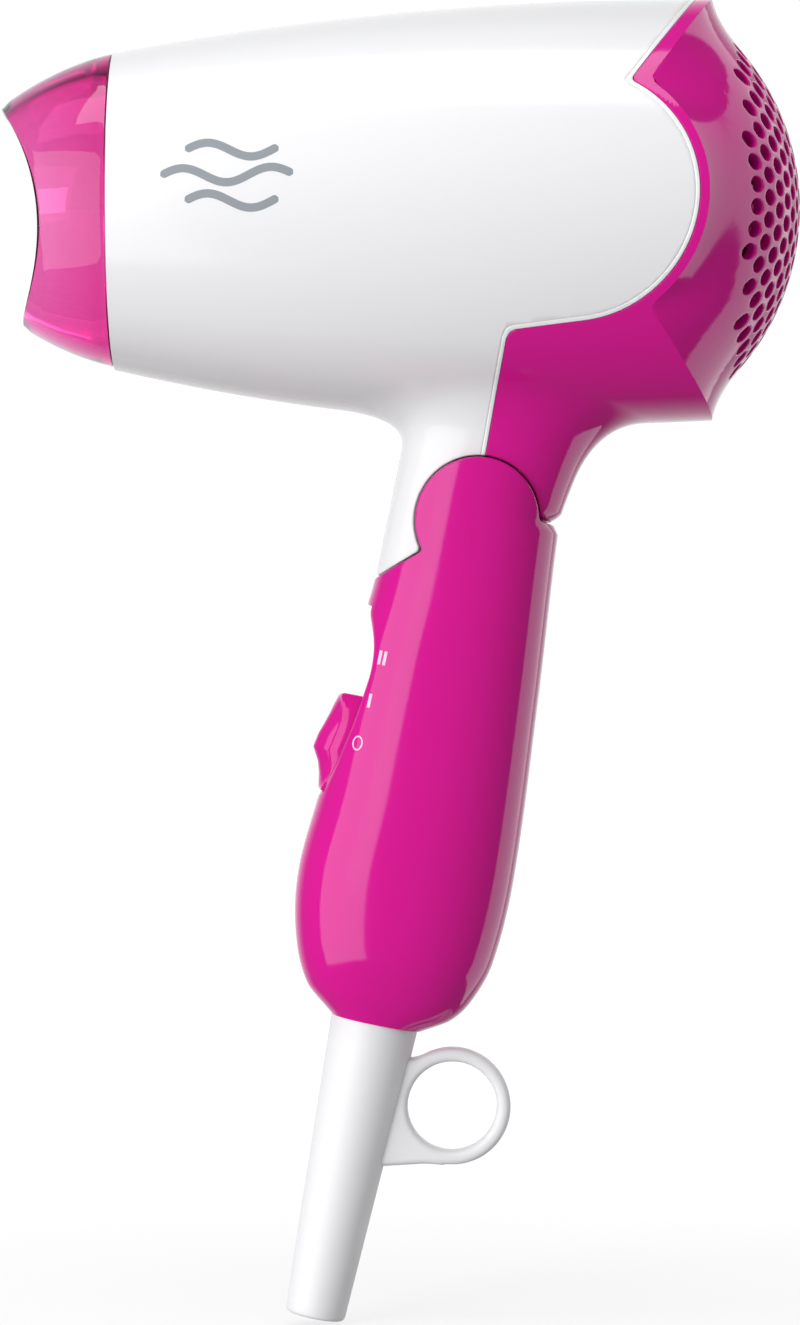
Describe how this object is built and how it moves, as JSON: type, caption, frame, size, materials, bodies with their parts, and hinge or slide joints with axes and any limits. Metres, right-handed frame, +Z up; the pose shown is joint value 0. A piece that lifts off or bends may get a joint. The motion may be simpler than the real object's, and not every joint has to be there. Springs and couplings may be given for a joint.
{
  "type": "folding hair dryer",
  "caption": "Compact travel hair dryer: tapered barrel with domed inlet, clear tinted nozzle, forward-folding handle with slide switch and cord sleeve with hanging loop.",
  "frame": {"origin": "middle of the grip, on the handle's axis and the dryer's plane of symmetry", "axes": "+Z up with the barrel level, +X the way the air leaves, +Y the dryer's left"},
  "size_m": [0.1675, 0.0882, 0.2773],
  "materials": {
    "white_shell": "injection moulded ABS, polished",
    "white_sleeve": "soft PVC, smooth",
    "magenta_shell": "injection moulded ABS, polished",
    "tinted_nozzle": "clear tinted polycarbonate, polished",
    "black_plastic": "glass-filled nylon, as moulded",
    "mica": "pressed mica sheet",
    "resistance_wire": "drawn nichrome wire",
    "bright_steel": "zinc plated",
    "grey_plastic": "glass-filled nylon, as moulded",
    "brass": "stamped",
    "circuit_board": "glass-epoxy laminate",
    "red_sheath": "extruded",
    "blue_sheath": "extruded"
  },
  "bodies": {
    "handle": {"handle_left": "magenta_shell", "handle_right": "magenta_shell", "handle_screw_1": "bright_steel", "handle_screw_2": "bright_steel", "handle_screw_3": "bright_steel", "hinge_tube": "bright_steel", "switch_body": "grey_plastic", "switch_board": "circuit_board", "cord_sleeve": "white_sleeve", "cord_clamp": "grey_plastic", "clamp_screw_1": "bright_steel", "clamp_screw_2": "bright_steel", "live_lead": "red_sheath", "neutral_lead": "blue_sheath"},
    "barrel": {"front_shell": "white_shell", "rear_shell": "magenta_shell", "outlet_guard": "black_plastic", "heater_board_upright": "mica", "heater_board_level": "mica", "heater_coil_low": "resistance_wire", "heater_coil_high": "resistance_wire", "mica_liner": "mica", "thermostat_base": "black_plastic", "thermostat_blade": "brass", "thermal_fuse": "bright_steel", "fan_duct": "grey_plastic", "motor_can": "bright_steel", "motor_end_cap": "black_plastic", "rectifier_board": "circuit_board", "heater_lead": "red_sheath", "motor_lead": "blue_sheath"},
    "nozzle": {"nozzle": "tinted_nozzle"},
    "fan": {"fan_impeller": "black_plastic", "motor_shaft": "bright_steel"},
    "switch_slider": {"switch_knob": "magenta_shell", "switch_actuator": "black_plastic"}
  },
  "joints": [
    {"name": "handle_fold", "type": "hinge", "parent": "handle", "child": "barrel", "pos_m": [-0.01236, 0, 0.06076], "axis": [0, 1, 0], "range_deg": [0, 70]},
    {"name": "switch_slide", "type": "slide", "parent": "handle", "child": "switch_slider", "axis": [-0.1994, 0, 0.9799], "range_m": [0, 0.0183]},
    {"name": "nozzle_turn", "type": "hinge", "parent": "barrel", "child": "nozzle", "pos_m": [0.06564, 0, 0.12606], "axis": [1, 0, 0], "continuous": true},
    {"name": "fan_spin", "type": "hinge", "parent": "barrel", "child": "fan", "pos_m": [-0.04236, 0, 0.12606], "axis": [1, 0, 0], "continuous": true}
  ]
}
